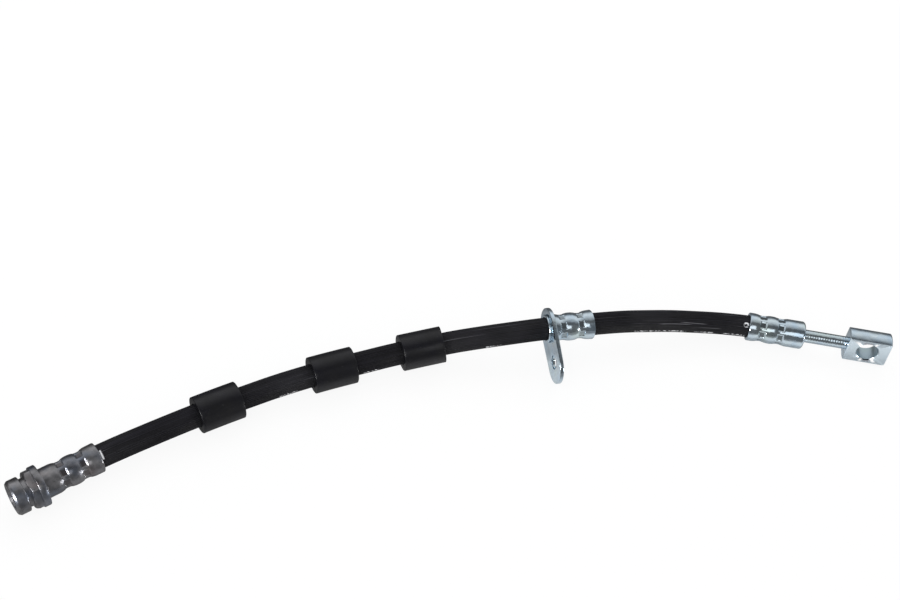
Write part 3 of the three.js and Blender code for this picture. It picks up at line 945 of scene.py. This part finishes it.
def make_banjo_block(axis, middle, block, hole_r, hole_at):
    """A length of round bar with two milled flats and a chamfered cross hole. The flats are
    meshed in rings around the hole, which their UV follows."""
    radius, half, chamfer, edge, end_round, soft = 8.17, 4.05, 0.45, 0.25, 0.9, 0.16
    count, flat_rings, hole_rings, crown_rings = 192, 14, 8, 28
    flat, crown_side, bore = 0, 1, 2  # the finishes
    left, right = -hole_at, block - hole_at

    def crown(z):
        """The bar's radius at a distance from the hole's axis along the bar."""
        a, b = z - left, right - z
        if a < edge:
            return radius - edge + a
        if b < end_round:
            return radius - end_round + math.sqrt(max(end_round**2 - (end_round - b) ** 2, 0.0))
        return radius

    def rim(z):
        """The height of the flat's edge above the bar's axis."""
        return math.sqrt(crown(z) ** 2 - half**2)

    def limit(angle):
        """Distance from the hole's axis to the flat's outline in a direction."""
        low, high = hole_r, 20.0
        c, d = math.cos(angle), math.sin(angle)
        for _ in range(40):
            r = (low + high) / 2
            inside = left < r * c < right and abs(r * d) < rim(r * c)
            low, high = (r, high) if inside else (low, r)
        return low

    angles = [2 * math.pi * k / count for k in range(count)]
    for z in (left + 1e-6, left + edge, right - end_round, right - 1e-6):
        for y in (-rim(z), rim(z)):
            corner = math.atan2(y, z)
            off = [abs((a - corner + math.pi) % (2 * math.pi) - math.pi) for a in angles]
            angles[off.index(min(off))] = corner % (2 * math.pi)
    bounds = [limit(a) for a in angles]
    bm = bmesh.new()
    uv = bm.loops.layers.uv.new("UVMap")

    def at(x, y, z):
        return bm.verts.new((x * MM, y * MM, (middle + z) * MM))

    def loop_at(x, radii):
        """A ring of points around the hole's axis."""
        return [at(x, r * math.sin(a), r * math.cos(a)) for a, r in zip(angles, radii)]

    def strip(a, b, across, finish):
        for k in range(count):
            m = (k + 1) % count
            face = bm.faces.new((a[k], a[m], b[m], b[k]))
            face.material_index = finish
            turn = ((k, across[0]), (k + 1, across[0]), (k + 1, across[1]), (k, across[1]))
            for loop, (u, v) in zip(face.loops, turn):
                loop[uv].uv = (u / count, v * MM)

    sides = []
    for side in (-1, 1):
        outer = hole_r + chamfer
        rows = [(loop_at(side * (half - chamfer), [hole_r] * count), hole_r - 0.2),
                (loop_at(side * half, [outer] * count), hole_r)]
        for k in range(1, flat_rings + 1):
            t = k / flat_rings
            rows.append((loop_at(side * half, [outer + (b - soft - outer) * t for b in bounds]),
                         hole_r + 5 * t))
        cut = soft * 0.3
        rows.append((loop_at(side * (half - cut), [b - cut for b in bounds]), hole_r + 5.1))
        rows.append((loop_at(side * (half - soft), bounds), hole_r + 5.2))
        for (a, i), (b, j) in zip(rows, rows[1:]):
            strip(a, b, (i, j), flat)
        sides.append(rows)
    (near_rim, near_edge), (far_rim, far_edge) = [(rows[0][0], rows[-1][0]) for rows in sides]
    previous = near_rim
    for k in range(1, hole_rings + 1):
        x = (half - chamfer) * (2 * k / hole_rings - 1)
        row = far_rim if k == hole_rings else loop_at(x, [hole_r] * count)
        strip(previous, row, (k - 1, k), bore)
        previous = row
    # the crowns and the two ends, from one flat's outline over to the other's
    previous = near_edge
    for k in range(1, crown_rings + 1):
        x = -(half - soft) * math.cos(math.pi * k / crown_rings)
        row = far_edge if k == crown_rings else []
        if not row:
            for vertex in near_edge:
                y, z = vertex.co.y / MM, vertex.co.z / MM - middle
                if left + 1e-3 < z < right - 1e-3:
                    y = math.copysign(math.sqrt(max(crown(z) ** 2 - x * x, 0.0)), y)
                row.append(at(x, y, z))
        strip(previous, row, (10 + k, 11 + k), crown_side)
        previous = row
    bmesh.ops.recalc_face_normals(bm, faces=bm.faces)
    mesh = bpy.data.meshes.new("zinc_banjo_block")
    bm.to_mesh(mesh)
    bm.free()
    smooth(mesh, 33)
    mesh.transform(axis.matrix(roll=-4.5))
    # the bore's finish is zinc darkened with painted shade
    for finish in ("faced", "zinc", "bore"):
        mesh.materials.append(MATERIAL[finish])
    piece = link("zinc_banjo_block", mesh)
    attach(piece, "root")


def make_banjo_fitting():
    stem, block, hole_r, hole_at = 20.9, 20.3, 5.1, 10.15
    axis = Axis(*BANJO_AXIS)
    start = BANJO_FERRULE + stem
    middle = start + hole_at
    make_banjo_stem(axis, start, middle, hole_r)
    make_banjo_block(axis, middle, block, hole_r, hole_at)


make_banjo_fitting()


# ---------------------------------------------------------------- floor, world and lamps
def make_floor():
    """A pale floor that keeps the object's shadow, and white to the camera. In gloss it is a
    glowing sheet of painted light and shade: brightest close in front of the object, and
    dimmer under it as a painted shadow, behind it and to the left."""
    size, pale = 4.0, 0.93
    bm = bmesh.new()
    bmesh.ops.create_grid(bm, x_segments=1, y_segments=1, size=size / 2)
    mesh = bpy.data.meshes.new("floor")
    bm.to_mesh(mesh)
    bm.free()
    floor = link("floor", mesh)
    floor.location.z = min(cad_low.z, 0.0) - 0.00002
    material = bpy.data.materials.new("floor_white")
    material.use_nodes = True
    n = Nodes(material.node_tree)
    path = n.node("ShaderNodeLightPath")
    gloss = path.outputs["Is Glossy Ray"]
    clear = n.most(path.outputs["Is Camera Ray"], path.outputs["Is Transmission Ray"])
    # the object's line over the floor: y = 0.0406 + 0.265 x - 1.18 x^2
    x, y, _ = n.split()
    line = n.math("MULTIPLY_ADD", n.times(x, -1.18), x, 0.0406)
    line = n.math("MULTIPLY_ADD", x, 0.265, line)
    away = n.math("SUBTRACT", y, line)
    # painted light and shade in the floor's reflections: a bright pool close in front, a painted
    # shadow under the object, dimmer behind and to the left
    front = n.spread(away, -0.062, -0.02, 0.24, 0.8, "SMOOTHSTEP")
    under = n.spread(away, -0.016, -0.007, 1.0, 0.66, "SMOOTHSTEP")
    behind = n.spread(away, 0.0, 0.03, 1.0, 0.22, "SMOOTHSTEP")
    left = n.spread(x, -0.19, 0.05, 0.45, 1.0, "SMOOTHSTEP")
    sheet = n.times(n.times(n.times(front, under), behind), left)
    level = n.node("ShaderNodeMix", data_type="FLOAT")
    for value, socket in ((gloss, 0), (pale, 2), (sheet, 3)):
        n.put(value, level.inputs[socket])
    soft = n.node("ShaderNodeBsdfDiffuse")
    n.put(n.vector(*[level.outputs[0]] * 3), soft.inputs[0])
    glow = n.node("ShaderNodeEmission")
    n.put(n.most(clear, sheet), glow.inputs["Strength"])
    share = n.math("MULTIPLY_ADD", gloss, 0.3, n.times(clear, 0.9))
    surface = n.blend(share, soft.outputs[0], glow.outputs[0])
    n.link(surface, n.node("ShaderNodeOutputMaterial").inputs[0])
    mesh.materials.append(material)


def make_world():
    """White to the camera. Gloss sees a photo tent: a strip light in front, which ends a little
    to the right, a wide softbox behind and above, and dim cloth between them. Other rays see an
    even soft grey."""
    world = bpy.data.worlds.new("studio")
    bpy.context.scene.world = world
    world.use_nodes = True
    n = Nodes(world.node_tree)
    x, y, z = n.split("Generated")
    turn = n.math("ARCTAN2", z, n.times(y, -1.0))
    part = n.spread(turn, 0.0, math.pi)
    ramp = n.node("ShaderNodeValToRGB")
    n.link(part, ramp.inputs[0])
    # brightness by degrees, from the floor in front over the top to the floor behind
    bands = ((0, 0.12), (18, 0.16), (31, 0.12), (38, 1.25), (55, 1.25), (63, 0.12), (85, 0.12),
             (98, 0.4), (112, 0.62), (130, 0.84), (148, 0.8), (158, 0.45), (168, 0.16),
             (180, 0.14))
    elements = ramp.color_ramp.elements
    elements.remove(elements[1])
    for index, (degrees, level) in enumerate(bands):
        element = elements[0] if index == 0 else elements.new(degrees / 180)
        element.color = (level, level, level, 1)
    cap = n.spread(x, 0.24, 0.35, 1.3, 0.15)
    back = n.spread(part, 0.44, 0.5, 0.0, 1.3)
    level = n.math("MINIMUM", ramp.outputs[0], n.most(cap, back))

    def background(color):
        node = n.node("ShaderNodeBackground")
        n.put(color, node.inputs[0])
        return node.outputs[0]

    path = n.node("ShaderNodeLightPath")
    clear = n.most(path.outputs["Is Camera Ray"], path.outputs["Is Transmission Ray"])
    gloss = path.outputs["Is Glossy Ray"]
    tent = n.blend(gloss, background((0.8, 0.8, 0.81, 1)), background(level))
    n.link(n.blend(clear, tent, background((1, 1, 1, 1))),
           n.node("ShaderNodeOutputWorld").inputs[0])


def make_lamp(name, place, size, power, gloss=False):
    """A lamp aimed at the object's middle, seen either by diffuse rays or by gloss alone."""
    data = bpy.data.lights.new(name, "AREA")
    data.shape = "RECTANGLE"
    data.size, data.size_y = size
    data.energy = power
    lamp = bpy.data.objects.new(name, data)
    bpy.context.scene.collection.objects.link(lamp)
    lamp.location = place
    lamp.rotation_mode = "QUATERNION"
    lamp.rotation_quaternion = (-Vector(place)).to_track_quat("-Z", "Y")
    lamp.visible_camera = False
    lamp.visible_glossy = gloss
    lamp.visible_diffuse = not gloss


make_floor()
make_world()
make_lamp("softbox_back", (0.1, 0.9, 0.95), (1.6, 0.7), 6.0)
make_lamp("softbox_front", (-0.35, -0.8, 0.9), (1.2, 0.5), 3.0)
make_lamp("glint_right", (1.2, -0.5, 0.09), (0.24, 0.24), 6.0, gloss=True)
make_lamp("glint_left", (-0.8, -0.8, 0.4), (0.34, 0.34), 11.0, gloss=True)

bpy.context.scene.view_settings.view_transform = "Standard"

bpy.context.view_layer.update()
